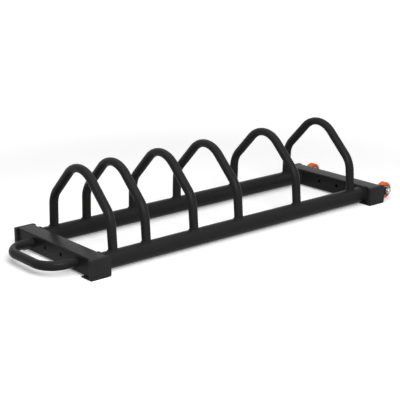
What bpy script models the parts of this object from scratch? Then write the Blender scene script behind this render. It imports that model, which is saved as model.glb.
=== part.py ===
"""Wheeled bumper plate rack: a welded tube frame with six hoops, a carry handle and two wheels.

The rack stands on the floor at z = 0. X runs from the handle end to the wheel end, and the
front is -Y. The origin is under the middle of the whole rack.
"""
import math

import bmesh
import bpy
from mathutils import Vector

MM = 0.001

# Clearances between pieces that touch, and around the turning parts
GAP = 0.3 * MM
SEAT_GAP = 0.6 * MM
FIT_GAP = 0.1 * MM
RUNNING_GAP = 0.05 * MM
SEAL_GAP = 0.35 * MM

# Long rails
RAIL_DIAMETER = 50.8 * MM
RAIL_WALL = 2.5 * MM
RAIL_SPACING = 304.8 * MM
RAIL_DROP = 0.6 * MM
RAIL_SIDES = 32

# Cross beams
BEAM_SIZE = 54.0 * MM
BEAM_WALL = 3.0 * MM
BEAM_CORNER = 3.5 * MM
BEAM_LENGTH = 376.2 * MM
BEAM_CORNER_STEPS = 4
DRAIN_DIAMETER = 12.0 * MM
DRAIN_SPACING = 82.0 * MM
DRAIN_RAISE = 3.0 * MM

# Moulded end caps with their feet
CAP_OVERHANG = 6.75 * MM
CAP_WALL = 12.0 * MM
CAP_TOP_CORNER = 3.0 * MM
CAP_HANDLE_CORNER = 1.0 * MM
CAP_WHEEL_CORNER = 6.5 * MM
CAP_CORNER_STEPS = 3
FOOT_THICKNESS = 5.0 * MM
FOOT_INSET = 2.0 * MM
FOOT_REACH = 36.0 * MM
PLUG_DEPTH = 25.0 * MM
PLUG_WALL = 3.0 * MM
PLUG_CORNER = 3.0 * MM

# Hoops: clear slots between them, and the corner points of their centreline
HOOP_TUBE = 27.0 * MM
HOOP_WALL = 2.5 * MM
HOOP_SETBACK = 46.8 * MM
LAST_HOOP_SETBACK = 50.0 * MM
SLOT_NARROW = 88.0 * MM
SLOT_MEDIUM = 145.5 * MM
SLOT_WIDE = 213.0 * MM
KNEE_SPACING = 292.0 * MM
KNEE_HEIGHT = 148.0 * MM
KNEE_RADIUS = 72.0 * MM
APEX_HEIGHT = 291.0 * MM
APEX_RADIUS = 84.0 * MM
KNEE_STEPS = 4
APEX_STEPS = 8

# Carry handle
HANDLE_TUBE = 27.0 * MM
HANDLE_WALL = 2.5 * MM
HANDLE_SPACING = 227.0 * MM
HANDLE_REACH = 89.5 * MM
HANDLE_BEND = 63.0 * MM
HANDLE_STEPS = 6
TUBE_SIDES = 12

# Share by which a tube is flatter, and wider, in the middle of a bend
BEND_FLATTENING = 0.1
BEND_WIDENING = 0.04

# Weld beads
HOOP_BEAD = 3.0 * MM
HOOP_BEAD_HEIGHT = 4.0 * MM
RAIL_BEAD = 5.0 * MM
HANDLE_BEAD = 2.5 * MM
EAR_BEAD = 4.0 * MM
BEAD_BULGE = 0.62

# Wheels
WHEEL_DIAMETER = 52.0 * MM
WHEEL_WIDTH = 22.0 * MM
WHEEL_SETBACK = 38.8 * MM
TREAD_ROUND = 4.0 * MM
TREAD_STEPS = 3
TYRE_LIP = 2.75 * MM
CORE_DIAMETER = 30.0 * MM
CORE_RECESS = 1.0 * MM
CORE_SHOULDER = 1.6 * MM
WHEEL_SIDES = 24

# Ball bearings
BEARING_BORE = 10.0 * MM
BEARING_DIAMETER = 26.0 * MM
BEARING_WIDTH = 8.0 * MM
RING_WALL = 1.6 * MM
SEAL_THICKNESS = 0.8 * MM
SEAL_INSET = 0.3 * MM
BALL_COUNT = 7
BALL_SIDES = 6
CAGE_THICKNESS = 1.2 * MM
RING_SIDES = 14

# Axle bolts and what is on them
COLLAR_WALL = 1.6 * MM
TYRE_CLEARANCE = 1.5 * MM
WASHER_DIAMETER = 20.0 * MM
WASHER_THICKNESS = 2.0 * MM
HEX_ACROSS = 16.0 * MM
HEAD_HEIGHT = 6.4 * MM
NUT_HEIGHT = 8.0 * MM
NUT_COLLAR_HEIGHT = 2.0 * MM
NUT_COLLAR_WALL = 2.2 * MM
BOLT_TAIL = 2.0 * MM

# Ears on the wheel beam, one at each side of a wheel
EAR_THICKNESS = 6.0 * MM
EAR_HEIGHT = 25.0 * MM
EAR_INSET = 2.0 * MM
EAR_TIP_RADIUS = 10.5 * MM
EAR_TIP_STEPS = 10

# How far a cutter runs past the face it cuts, and the sharpest edge that is shaded smooth
OVERCUT = 1.0 * MM
SMOOTH_ANGLE = math.radians(35)

# Heights, radii and widths that follow from these
BEAM_BASE = FOOT_THICKNESS
BEAM_MIDDLE = BEAM_BASE + BEAM_SIZE / 2
BEAM_TOP = BEAM_BASE + BEAM_SIZE
RAIL_RADIUS = RAIL_DIAMETER / 2
RAIL_HEIGHT = BEAM_BASE - RAIL_DROP + RAIL_RADIUS
LIP_TOP = RAIL_HEIGHT - RAIL_RADIUS - SEAT_GAP
RAIL_Y = RAIL_SPACING / 2
HOOP_RADIUS = HOOP_TUBE / 2
HANDLE_RADIUS = HANDLE_TUBE / 2
CAP_WIDTH = BEAM_SIZE + 2 * CAP_OVERHANG
FOOT_WIDTH = BEAM_SIZE - 2 * FOOT_INSET

# Stations along X, measured from the handle beam's inner face and then centred
SLOTS = (SLOT_NARROW, SLOT_MEDIUM, SLOT_MEDIUM, SLOT_WIDE, SLOT_WIDE)
HOOP_STATIONS = [HOOP_SETBACK + sum(SLOTS[:i]) + i * HOOP_TUBE for i in range(len(SLOTS) + 1)]
RAIL_LENGTH = HOOP_STATIONS[-1] + LAST_HOOP_SETBACK
LOW_X = -BEAM_SIZE - HANDLE_REACH - HANDLE_RADIUS
HIGH_X = RAIL_LENGTH + BEAM_SIZE + WHEEL_SETBACK + WHEEL_DIAMETER / 2
MIDDLE_X = (LOW_X + HIGH_X) / 2
HANDLE_BEAM_X = -BEAM_SIZE / 2 - MIDDLE_X
WHEEL_BEAM_X = RAIL_LENGTH + BEAM_SIZE / 2 - MIDDLE_X
HANDLE_FACE_X = -BEAM_SIZE - MIDDLE_X
WHEEL_FACE_X = RAIL_LENGTH + BEAM_SIZE - MIDDLE_X
AXLE_X = WHEEL_FACE_X + WHEEL_SETBACK

# Radii shared along the axle bolt
INNER_BORE = BEARING_BORE / 2 + FIT_GAP
RACE_RADIUS = INNER_BORE + RING_WALL

# Axle stack: distances from the wheel's middle
CORE_HALF = WHEEL_WIDTH / 2 - CORE_RECESS
COLLAR_START = CORE_HALF + GAP
EAR_START = WHEEL_WIDTH / 2 + TYRE_CLEARANCE
COLLAR_END = EAR_START - GAP
EAR_END = EAR_START + EAR_THICKNESS
WASHER_START = EAR_END + GAP
HEAD_START = WASHER_START + WASHER_THICKNESS + GAP
NUT_TOP = HEAD_START + NUT_HEIGHT
NUT_END = NUT_TOP + NUT_COLLAR_HEIGHT
WHEEL_Y = BEAM_LENGTH / 2 - EAR_INSET - EAR_END

# Finishes: base colour, roughness, metallic
POWDER_COAT = ((0.022, 0.022, 0.023), 0.42, 0.0)
MOULDED_BLACK = ((0.018, 0.018, 0.018), 0.62, 0.0)
ORANGE_URETHANE = ((0.74, 0.13, 0.035), 0.34, 0.0)
CORE_BLACK = ((0.02, 0.02, 0.022), 0.5, 0.0)
BEARING_STEEL = ((0.62, 0.62, 0.64), 0.22, 1.0)
SEAL_NAVY = ((0.012, 0.014, 0.05), 0.5, 0.0)
ZINC_PLATE = ((0.66, 0.67, 0.68), 0.3, 1.0)

FRONT = -1
BACK = 1
SIDE_NAMES = {FRONT: "front", BACK: "back"}


def clear_scene():
    """Removes every object of the starting scene."""
    for item in list(bpy.data.objects):
        bpy.data.objects.remove(item, do_unlink=True)


def make_material(name, finish):
    """One Principled material with the given base colour, roughness and metallic value."""
    colour, roughness, metallic = finish
    material = bpy.data.materials.new(name)
    material.use_nodes = True
    shader = material.node_tree.nodes["Principled BSDF"]
    shader.inputs["Base Color"].default_value = (*colour, 1.0)
    shader.inputs["Roughness"].default_value = roughness
    shader.inputs["Metallic"].default_value = metallic
    material.diffuse_color = (*colour, 1.0)
    return material


def make_object(name, bm, finish, location=(0.0, 0.0, 0.0)):
    """Turns a bmesh into a named object with outward faces and smooth round surfaces."""
    bmesh.ops.recalc_face_normals(bm, faces=bm.faces)
    mesh = bpy.data.meshes.new(name)
    bm.to_mesh(mesh)
    bm.free()
    mesh.shade_smooth()
    mesh.set_sharp_from_angle(angle=SMOOTH_ANGLE)
    item = bpy.data.objects.new(name, mesh)
    item.location = location
    bpy.context.collection.objects.link(item)
    mesh.materials.append(make_material(name, finish))
    return item


def make_tool(name, bm, location=(0.0, 0.0, 0.0)):
    """A hidden solid that only cuts or joins another object."""
    bmesh.ops.recalc_face_normals(bm, faces=bm.faces)
    mesh = bpy.data.meshes.new(name)
    bm.to_mesh(mesh)
    bm.free()
    item = bpy.data.objects.new(name, mesh)
    item.location = location
    item.hide_render = True
    item.display_type = "WIRE"
    bpy.context.collection.objects.link(item)
    return item


def combine(item, tool, operation):
    """Adds an exact Boolean of the hidden tool to an object."""
    modifier = item.modifiers.new(tool.name, "BOOLEAN")
    modifier.operation = operation
    modifier.object = tool
    modifier.solver = "EXACT"


def outside(radius, sides):
    """Corner radius of a polygon whose flats lie at the given radius."""
    return radius / math.cos(math.pi / sides)


def skin(bm, rings, closed=False):
    """Joins a row of rings of points by bands of quads and returns the rings' vertices."""
    rows = [[bm.verts.new(point) for point in ring] for ring in rings]
    following = rows[1:] + rows[:1] if closed else rows[1:]
    for near, far in zip(rows, following):
        for i in range(len(near)):
            bm.faces.new((near[i - 1], near[i], far[i], far[i - 1]))
    return rows


def ring_body(rings):
    """A closed body whose row of rings runs back into itself."""
    bm = bmesh.new()
    skin(bm, rings, closed=True)
    return bm


def hollow_body(outer_rings, inner_rings):
    """A closed body between an outer and an inner skin, open through its middle."""
    return ring_body(outer_rings + inner_rings[::-1])


def solid_body(rings):
    """A closed body of rings with a face over each end."""
    bm = bmesh.new()
    rows = skin(bm, rings)
    bm.faces.new(rows[0])
    bm.faces.new(rows[-1])
    return bm


def turned(profile, sides):
    """Spins a closed profile of (radius, along) points about the local Y axis."""
    bm = bmesh.new()
    verts = [bm.verts.new((radius, along, 0.0)) for radius, along in profile]
    edges = [bm.edges.new(pair) for pair in zip(verts, verts[1:] + verts[:1])]
    bmesh.ops.spin(bm, geom=verts + edges, axis=(0.0, 1.0, 0.0), angle=math.tau,
                   steps=sides, use_merge=True)
    return bm


def disc_ring(inner, outer, start, end, sides):
    """A plain ring between two radii, from start to end along the local Y axis."""
    bore = outside(inner, sides)
    return turned([(bore, start), (outer, start), (outer, end), (bore, end)], sides)


def polygon(radius, along, sides, turn=0.0):
    """Corner points of a regular polygon square to the local Y axis."""
    angles = [turn + math.tau * i / sides for i in range(sides)]
    return [(radius * math.cos(a), along, radius * math.sin(a)) for a in angles]


def prism(radius, start, end, sides, turn=0.0):
    """A solid regular prism along the local Y axis."""
    return solid_body([polygon(radius, start, sides, turn), polygon(radius, end, sides, turn)])


def block(low, high, corner=0.0):
    """A solid box between two corners, with its edges along Y rounded."""
    bm = bmesh.new()
    bmesh.ops.create_cube(bm, size=1.0)
    bmesh.ops.scale(bm, vec=high - low, verts=bm.verts)
    bmesh.ops.translate(bm, vec=(high + low) / 2, verts=bm.verts)
    if corner > 0:
        along = [edge for edge in bm.edges if abs(edge.verts[0].co.y - edge.verts[1].co.y) > GAP]
        bmesh.ops.bevel(bm, geom=along, offset=corner, offset_type="OFFSET", segments=CAP_CORNER_STEPS,
                        profile=0.5, affect="EDGES", material=-1)
    return bm


def corner_arc(corner, radius, towards, quarter, along):
    """Points of one rounded corner, square to the local Y axis, over a quarter turn.

    The corner is (x, z), and towards is the (x, z) sign of the way from it into the body.
    """
    points = []
    for step in range(CAP_CORNER_STEPS + 1):
        angle = (quarter + step / CAP_CORNER_STEPS) * math.pi / 2
        x = corner[0] + radius * (towards[0] + math.cos(angle))
        z = corner[1] + radius * (towards[1] + math.sin(angle))
        points.append((x, along, z))
    return points


def cap_outline(along):
    """Corner points of a cap's end wall: small corners on top, one round corner at its foot."""
    half = CAP_WIDTH / 2
    return (corner_arc((half, BEAM_TOP), CAP_TOP_CORNER, (-1, -1), 0, along)
            + corner_arc((-half, BEAM_TOP), CAP_TOP_CORNER, (1, -1), 1, along)
            + corner_arc((-half, 0.0), CAP_HANDLE_CORNER, (1, 1), 2, along)
            + corner_arc((half, 0.0), CAP_WHEEL_CORNER, (-1, 1), 3, along))


def rounded_square(half, corner, along):
    """Points of a square with round corners, square to the local Y axis."""
    points = []
    for quarter in range(4):
        start = quarter * math.pi / 2
        centre = Vector((half - corner, half - corner))
        for step in range(BEAM_CORNER_STEPS + 1):
            angle = math.pi / 2 * step / BEAM_CORNER_STEPS
            corner_point = centre + corner * Vector((math.cos(angle), math.sin(angle)))
            x = corner_point.x * math.cos(start) - corner_point.y * math.sin(start)
            z = corner_point.x * math.sin(start) + corner_point.y * math.cos(start)
            points.append((x, along, z))
    return points


def rounded_path(corners, radii, steps):
    """Stations (point, direction, bend) along a planar path whose inner corners are arcs.

    The bend runs from 0 where a bend starts to 1 in its middle, and is 0 on straight runs.
    """
    corners = [Vector(corner) for corner in corners]
    stations = [(corners[0], (corners[1] - corners[0]).normalized(), 0.0)]
    for i, (radius, count) in enumerate(zip(radii, steps), start=1):
        arriving = (corners[i] - corners[i - 1]).normalized()
        leaving = (corners[i + 1] - corners[i]).normalized()
        turn = arriving.angle(leaving)
        tangent = radius * math.tan(turn / 2)
        inward = (leaving - arriving).normalized()
        centre = corners[i] + inward * math.hypot(radius, tangent)
        side = (leaving - arriving * arriving.dot(leaving)).normalized()
        for step in range(count + 1):
            angle = turn * step / count
            direction = arriving * math.cos(angle) + side * math.sin(angle)
            outward = arriving * math.sin(angle) - side * math.cos(angle)
            bend = math.sin(math.pi * step / count)
            stations.append((centre + outward * radius, direction, bend))
    stations.append((corners[-1], (corners[-1] - corners[-2]).normalized(), 0.0))
    return stations


def tube_ring(station, across, radius, sides, reach=None):
    """A ring of a bent tube; reach says how far each point lies along the direction."""
    point, direction, bend = station
    level = direction.cross(across).normalized()
    width = radius * (1 + BEND_WIDENING * bend)
    depth = radius * (1 - BEND_FLATTENING * bend)
    ring = []
    for i in range(sides):
        angle = math.tau * i / sides
        flat = depth * math.sin(angle)
        along = reach(flat) if reach else 0.0
        ring.append(point + across * width * math.cos(angle) + level * flat + direction * along)
    return ring


def weld_steps(bead, height):
    """Added radius and height of the rings that make a convex weld bead at a tube's end."""
    return [(bead, 0.0), (bead * BEAD_BULGE, height * BEAD_BULGE), (0.0, height)]


def beam_object(name, x):
    """A square-tube cross beam with two drain holes in its handle-side wall."""
    half = BEAM_SIZE / 2
    end = BEAM_LENGTH / 2
    inner = half - BEAM_WALL
    inner_corner = max(BEAM_CORNER - BEAM_WALL, BEAM_WALL / 2)
    outer_rings = [rounded_square(half, BEAM_CORNER, y) for y in (-end, end)]
    inner_rings = [rounded_square(inner, inner_corner, y) for y in (-end, end)]
    bm = hollow_body(outer_rings, inner_rings)
    beam = make_object(name, bm, POWDER_COAT, (x, 0.0, BEAM_MIDDLE))
    for side in (FRONT, BACK):
        cutter = bmesh.new()
        bmesh.ops.create_cone(cutter, cap_ends=True, segments=RING_SIDES, depth=BEAM_WALL * 3,
                              radius1=DRAIN_DIAMETER / 2, radius2=DRAIN_DIAMETER / 2)
        bmesh.ops.rotate(cutter, verts=cutter.verts, cent=(0, 0, 0),
                         matrix=Vector((0, 0, 1)).rotation_difference(Vector((1, 0, 0))).to_matrix())
        place = (x - half, side * DRAIN_SPACING / 2, BEAM_MIDDLE + DRAIN_RAISE)
        tool = make_tool(f"{name}_drain_{SIDE_NAMES[side]}", cutter, place)
        combine(beam, tool, "DIFFERENCE")


def rail_ring(x, radius):
    """A round ring about a rail's axis."""
    station = (Vector((x, 0.0, 0.0)), Vector((1.0, 0.0, 0.0)), 0.0)
    return tube_ring(station, Vector((0.0, 1.0, 0.0)), radius, RAIL_SIDES)


def rail_weld_ring(x, added):
    """A ring over the weld bead of a rail end, on the beam's face and off the rail's underside."""
    lowest = BEAM_BASE + BEAM_CORNER - RAIL_HEIGHT
    highest = BEAM_TOP - BEAM_CORNER / 2 - RAIL_HEIGHT
    ring = []
    for point in rail_ring(x, RAIL_RADIUS):
        rise = point.z / RAIL_RADIUS
        reach = RAIL_RADIUS + RAIL_BEAD
        if rise * reach > lowest:
            limit = max(highest / rise, RAIL_RADIUS) if rise > 0 else reach
            stretch = min(RAIL_RADIUS + added, limit) / RAIL_RADIUS
            point.y *= stretch
            point.z *= stretch
        ring.append(point)
    return ring


def rail_end_rings(face, away):
    """Outer rings of one rail end, from the middle of its cut face over its weld bead."""
    rings = [rail_ring(face + away * GAP, RAIL_RADIUS - RAIL_WALL / 2)]
    for added, lift in weld_steps(RAIL_BEAD, RAIL_BEAD):
        rings.append(rail_weld_ring(face + away * (GAP + lift), added))
    return rings


def rail_object(side):
    """A round-tube rail welded between the two cross beams."""
    start = HANDLE_FACE_X + BEAM_SIZE
    end = WHEEL_FACE_X - BEAM_SIZE
    outer = rail_end_rings(start, 1) + rail_end_rings(end, -1)[::-1]
    inner = [rail_ring(x, RAIL_RADIUS - RAIL_WALL) for x in (start + GAP, end - GAP)]
    place = (0.0, side * RAIL_Y, RAIL_HEIGHT)
    make_object(f"{SIDE_NAMES[side]}_rail", hollow_body(outer, inner), POWDER_COAT, place)


def hoop_corners():
    """Corner points of a hoop's centreline, from the front rail's axis to the back rail's."""
    knee = KNEE_SPACING / 2
    return [(0.0, -RAIL_Y, RAIL_HEIGHT), (0.0, -knee, KNEE_HEIGHT), (0.0, 0.0, APEX_HEIGHT),
            (0.0, knee, KNEE_HEIGHT), (0.0, RAIL_Y, RAIL_HEIGHT)]


def saddle(flat):
    """Distance from the rail's axis to a hoop's seat on it, beside the leg's middle plane."""
    return math.sqrt((RAIL_RADIUS + SEAT_GAP) ** 2 - flat ** 2)


def seat_ring(station, across, radius, away, lift=0.0):
    """A ring of a hoop foot that follows the rail's surface at a distance above its seat."""
    return tube_ring(station, across, radius, TUBE_SIDES, lambda flat: away * (saddle(flat) + lift))


def foot_rings(station, across, away):
    """Outer rings of one hoop foot, from its seat on the rail up over its weld bead."""
    rings = [seat_ring(station, across, HOOP_RADIUS, away)]
    for added, lift in weld_steps(HOOP_BEAD, HOOP_BEAD_HEIGHT):
        rings.append(seat_ring(station, across, HOOP_RADIUS + added, away, lift))
    return rings


def hoop_object(number, x):
    """One bent-tube hoop welded upright on both rails."""
    across = Vector((1.0, 0.0, 0.0))
    radii = (KNEE_RADIUS, APEX_RADIUS, KNEE_RADIUS)
    path = rounded_path(hoop_corners(), radii, (KNEE_STEPS, APEX_STEPS, KNEE_STEPS))
    outer = foot_rings(path[0], across, 1)
    outer += [tube_ring(station, across, HOOP_RADIUS, TUBE_SIDES) for station in path[1:-1]]
    outer += foot_rings(path[-1], across, -1)[::-1]
    bore = HOOP_RADIUS - HOOP_WALL
    path = rounded_path(hoop_corners(), radii, (KNEE_STEPS // 2, APEX_STEPS // 2, KNEE_STEPS // 2))
    inner = [seat_ring(path[0], across, bore, 1)]
    inner += [tube_ring(station, across, bore, TUBE_SIDES) for station in path[1:-1]]
    inner.append(seat_ring(path[-1], across, bore, -1))
    make_object(f"hoop_{number}", hollow_body(outer, inner), POWDER_COAT, (x, 0.0, 0.0))


def handle_end_rings(station, across, away):
    """Outer rings over the weld bead of one handle leg."""
    rings = []
    for added, lift in weld_steps(HANDLE_BEAD, HANDLE_BEAD):
        point, direction, bend = station
        moved = (point + direction * away * lift, direction, bend)
        rings.append(tube_ring(moved, across, HANDLE_RADIUS + added, TUBE_SIDES))
    return rings


def handle_object():
    """The U-shaped carry handle, welded to the outer face of the handle beam."""
    root = HANDLE_FACE_X - GAP
    bar = HANDLE_FACE_X - HANDLE_REACH
    half = HANDLE_SPACING / 2
    bend = min(HANDLE_BEND, HANDLE_REACH - HANDLE_RADIUS, half - HANDLE_RADIUS)
    corners = [(root, -half, 0.0), (bar, -half, 0.0), (bar, half, 0.0), (root, half, 0.0)]
    across = Vector((0.0, 0.0, 1.0))
    path = rounded_path(corners, (bend, bend), (HANDLE_STEPS, HANDLE_STEPS))
    outer = handle_end_rings(path[0], across, 1)
    outer += [tube_ring(station, across, HANDLE_RADIUS, TUBE_SIDES) for station in path[1:-1]]
    outer += handle_end_rings(path[-1], across, -1)[::-1]
    path = rounded_path(corners, (bend, bend), (HANDLE_STEPS // 2, HANDLE_STEPS // 2))
    bore = HANDLE_RADIUS - HANDLE_WALL
    inner = [tube_ring(station, across, bore, TUBE_SIDES) for station in path]
    make_object("carry_handle", hollow_body(outer, inner), POWDER_COAT, (0.0, 0.0, BEAM_MIDDLE))


def span(side, near, far, half, low, high):
    """Opposite corners of a box between two distances from the middle plane, on one side."""
    ys = sorted((side * near, side * far))
    return Vector((-half, ys[0], low)), Vector((half, ys[1], high))


def cap_object(name, x, side):
    """A moulded end cap: end wall and foot in one, with a hollow plug inside the beam."""
    wall_y = BEAM_LENGTH / 2 + GAP
    outer_y = wall_y + CAP_WALL
    place = (x, 0.0, 0.0)
    wall = solid_body([cap_outline(side * y) for y in (wall_y, outer_y)])
    cap = make_object(name, wall, MOULDED_BLACK, place)
    foot_ends = (wall_y - FOOT_REACH, wall_y + CAP_WALL / 2)
    foot = span(side, *foot_ends, FOOT_WIDTH / 2, 0.0, BEAM_BASE - GAP)
    combine(cap, make_tool(f"{name}_foot", block(*foot), place), "UNION")
    lip_low, lip_high = span(side, *foot_ends, CAP_WIDTH / 2, 0.0, LIP_TOP)
    lip_high.x -= CAP_WHEEL_CORNER
    combine(cap, make_tool(f"{name}_lip", block(lip_low, lip_high), place), "UNION")
    plug_half = BEAM_SIZE / 2 - BEAM_WALL - GAP
    plug_ends = (wall_y - PLUG_DEPTH, wall_y + CAP_WALL / 2)
    plug = span(side, *plug_ends, plug_half, BEAM_MIDDLE - plug_half, BEAM_MIDDLE + plug_half)
    combine(cap, make_tool(f"{name}_plug", block(*plug, PLUG_CORNER), place), "UNION")
    room = plug_half - PLUG_WALL
    room_ends = (wall_y - PLUG_DEPTH - PLUG_WALL, wall_y - PLUG_WALL)
    hollow = span(side, *room_ends, room, BEAM_MIDDLE - room, BEAM_MIDDLE + room)
    combine(cap, make_tool(f"{name}_hollow", block(*hollow), place), "DIFFERENCE")


def tread_profile():
    """The tyre's section: round-shouldered tread, with its bore on the core."""
    half = WHEEL_WIDTH / 2
    radius = WHEEL_DIAMETER / 2
    bore = outside(CORE_DIAMETER / 2 + FIT_GAP, WHEEL_SIDES)
    lip = CORE_DIAMETER / 2 + TYRE_LIP
    shoulder = []
    for step in range(TREAD_STEPS + 1):
        angle = math.pi / 2 * step / TREAD_STEPS
        shoulder.append((radius - TREAD_ROUND * (1 - math.sin(angle)),
                         half - TREAD_ROUND * (1 - math.cos(angle))))
    right = [(bore, CORE_HALF), (lip, half)] + shoulder
    return right + [(r, -y) for r, y in reversed(right)]


def core_profile():
    """The core's section: a seat for a bearing at each side of a middle shoulder."""
    outer = CORE_DIAMETER / 2
    seat = outside(BEARING_DIAMETER / 2 + FIT_GAP, WHEEL_SIDES)
    step = CORE_HALF - BEARING_WIDTH - GAP
    bore = BEARING_DIAMETER / 2 - CORE_SHOULDER
    right = [(outer, CORE_HALF), (seat, CORE_HALF), (seat, step), (bore, step)]
    return right + [(r, -y) for r, y in reversed(right)]


def wheel_place(side):
    """The middle of one wheel."""
    return (AXLE_X, side * WHEEL_Y, BEAM_MIDDLE)


def wheel_objects(side):
    """Tyre and core of one wheel."""
    prefix = SIDE_NAMES[side]
    tyre = turned(tread_profile(), WHEEL_SIDES)
    make_object(f"{prefix}_wheel_tyre", tyre, ORANGE_URETHANE, wheel_place(side))
    core = turned(core_profile(), WHEEL_SIDES)
    make_object(f"{prefix}_wheel_core", core, CORE_BLACK, wheel_place(side))


def ball_cage_object(name, place):
    """A ring of bearing balls held together by their cage."""
    outer_race = BEARING_DIAMETER / 2 - RING_WALL
    ball_radius = (outer_race - RACE_RADIUS) / 2 - RUNNING_GAP
    pitch = (outer_race + RACE_RADIUS) / 2
    cage_radius = CAGE_THICKNESS / 2
    slope = math.asin(cage_radius / ball_radius)
    latitudes = [slope, (slope + math.pi / 2) / 2, math.pi / 2]
    latitudes += [math.pi - latitude for latitude in latitudes[1::-1]]
    rings = []
    for ball in range(BALL_COUNT):
        for latitude in latitudes:
            angle = math.tau * ball / BALL_COUNT - ball_radius * math.cos(latitude) / pitch
            outward = Vector((math.cos(angle), 0.0, math.sin(angle)))
            station = (outward * pitch, Vector((-outward.z, 0.0, outward.x)), 0.0)
            rings.append(tube_ring(station, outward, ball_radius * math.sin(latitude), BALL_SIDES))
    make_object(name, ring_body(rings), BEARING_STEEL, place)


def bearing_objects(side, end, label):
    """One ball bearing of a wheel: two rings, two seals and a ball cage."""
    prefix = f"{SIDE_NAMES[side]}_{label}_bearing"
    place = wheel_place(side)
    middle = end * (CORE_HALF - BEARING_WIDTH / 2)
    centre = (place[0], place[1] + middle, place[2])
    half = BEARING_WIDTH / 2
    outer = BEARING_DIAMETER / 2
    bore = outer - RING_WALL
    make_object(f"{prefix}_outer_ring", disc_ring(bore, outer, -half, half, WHEEL_SIDES),
                BEARING_STEEL, centre)
    make_object(f"{prefix}_inner_ring", disc_ring(INNER_BORE, RACE_RADIUS, -half, half, RING_SIDES),
                BEARING_STEEL, centre)
    for face, word in ((end, "outer"), (-end, "inner")):
        near = face * (half - SEAL_INSET)
        far = near - face * SEAL_THICKNESS
        seal = disc_ring(RACE_RADIUS + SEAL_GAP, bore - FIT_GAP, near, far, RING_SIDES)
        make_object(f"{prefix}_{word}_seal", seal, SEAL_NAVY, centre)
    ball_cage_object(f"{prefix}_ball_cage", centre)


def axle_ring_object(name, side, start, end, bore, radius):
    """A collar, washer or spacer on one axle bolt, between two distances from the wheel's middle."""
    ring = disc_ring(bore, radius, start, end, RING_SIDES)
    make_object(f"{SIDE_NAMES[side]}_{name}", ring, ZINC_PLATE, wheel_place(side))


def axle_ring_objects(side):
    """Spacer, collars and washers of one wheel."""
    spacer_end = CORE_HALF - BEARING_WIDTH - GAP
    axle_ring_object("bearing_spacer", side, -spacer_end, spacer_end, INNER_BORE, RACE_RADIUS)
    collar_radius = INNER_BORE + COLLAR_WALL
    for end, word in ((side, "outer"), (-side, "inner")):
        axle_ring_object(f"{word}_collar", side, end * COLLAR_START, end * COLLAR_END,
                         INNER_BORE, collar_radius)
    for end, word in ((side, "head"), (-side, "nut")):
        axle_ring_object(f"{word}_washer", side, end * WASHER_START, end * (WASHER_START + WASHER_THICKNESS),
                         BEARING_BORE / 2 + GAP, WASHER_DIAMETER / 2)


def axle_bolt_object(side):
    """The hexagon-head bolt that one wheel turns on."""
    name = f"{SIDE_NAMES[side]}_axle_bolt"
    top = HEAD_START + HEAD_HEIGHT
    head = prism(outside(HEX_ACROSS / 2, 6), side * HEAD_START, side * top, 6)
    bolt = make_object(name, head, ZINC_PLATE, wheel_place(side))
    shank_start = side * (HEAD_START + HEAD_HEIGHT / 2)
    shank = prism(BEARING_BORE / 2, shank_start, -side * (NUT_END + BOLT_TAIL), RING_SIDES)
    combine(bolt, make_tool(f"{name}_shank", shank, wheel_place(side)), "UNION")


def axle_nut_object(side):
    """The lock nut on the inboard end of one axle bolt."""
    name = f"{SIDE_NAMES[side]}_axle_nut"
    place = wheel_place(side)
    nut = make_object(name, prism(outside(HEX_ACROSS / 2, 6), -side * HEAD_START, -side * NUT_TOP, 6),
                      ZINC_PLATE, place)
    collar_start = HEAD_START + NUT_HEIGHT / 2
    collar_radius = BEARING_BORE / 2 + NUT_COLLAR_WALL
    collar = prism(collar_radius, -side * collar_start, -side * NUT_END, RING_SIDES)
    combine(nut, make_tool(f"{name}_collar", collar, place), "UNION")
    thread_radius = outside(INNER_BORE, RING_SIDES)
    thread_ends = (-side * (HEAD_START - OVERCUT), -side * (NUT_END + OVERCUT))
    thread = prism(thread_radius, *thread_ends, RING_SIDES)
    combine(nut, make_tool(f"{name}_thread", thread, place), "DIFFERENCE")


def ear_weld_body(face_y, away):
    """A straight convex bead beside the root of a wheel ear."""
    half = EAR_HEIGHT / 2 - GAP
    root_x = GAP - WHEEL_SETBACK
    buried = face_y - away * EAR_THICKNESS / 4
    section = [(root_x, buried), (root_x, face_y + away * EAR_BEAD),
               (root_x + EAR_BEAD * BEAD_BULGE, face_y + away * EAR_BEAD * BEAD_BULGE),
               (root_x + EAR_BEAD, face_y), (root_x + EAR_BEAD, buried)]
    return solid_body([[(x, y, z) for x, y in section] for z in (-half, half)])


def ear_outline():
    """Points (x, z) of an ear: straight sides, tangent to a round tip about the axle."""
    half = EAR_HEIGHT / 2
    root = WHEEL_SETBACK - GAP
    limit = math.pi - math.atan2(half, root) - math.acos(EAR_TIP_RADIUS / math.hypot(half, root))
    angles = [limit * (2 * step / EAR_TIP_STEPS - 1) for step in range(EAR_TIP_STEPS + 1)]
    tip = [(EAR_TIP_RADIUS * math.cos(a), EAR_TIP_RADIUS * math.sin(a)) for a in angles]
    return [(-root, -half)] + tip + [(-root, half)]


def ear_object(side, end, word):
    """A flat ear on the wheel beam at one side of a wheel, welded on its face toward the middle."""
    name = f"{SIDE_NAMES[side]}_{word}_ear"
    place = wheel_place(side)
    near = end * EAR_START
    far = end * EAR_END
    plate = solid_body([[(x, y, z) for x, z in ear_outline()] for y in (near, far)])
    ear = make_object(name, plate, POWDER_COAT, place)
    hole_ends = (near - end * OVERCUT, far + end * OVERCUT)
    hole = prism(outside(BEARING_BORE / 2 + GAP, RING_SIDES), *hole_ends, RING_SIDES)
    combine(ear, make_tool(f"{name}_hole", hole, place), "DIFFERENCE")
    welded_face = near if end == side else far
    combine(ear, make_tool(f"{name}_weld", ear_weld_body(welded_face, -side), place), "UNION")


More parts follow.
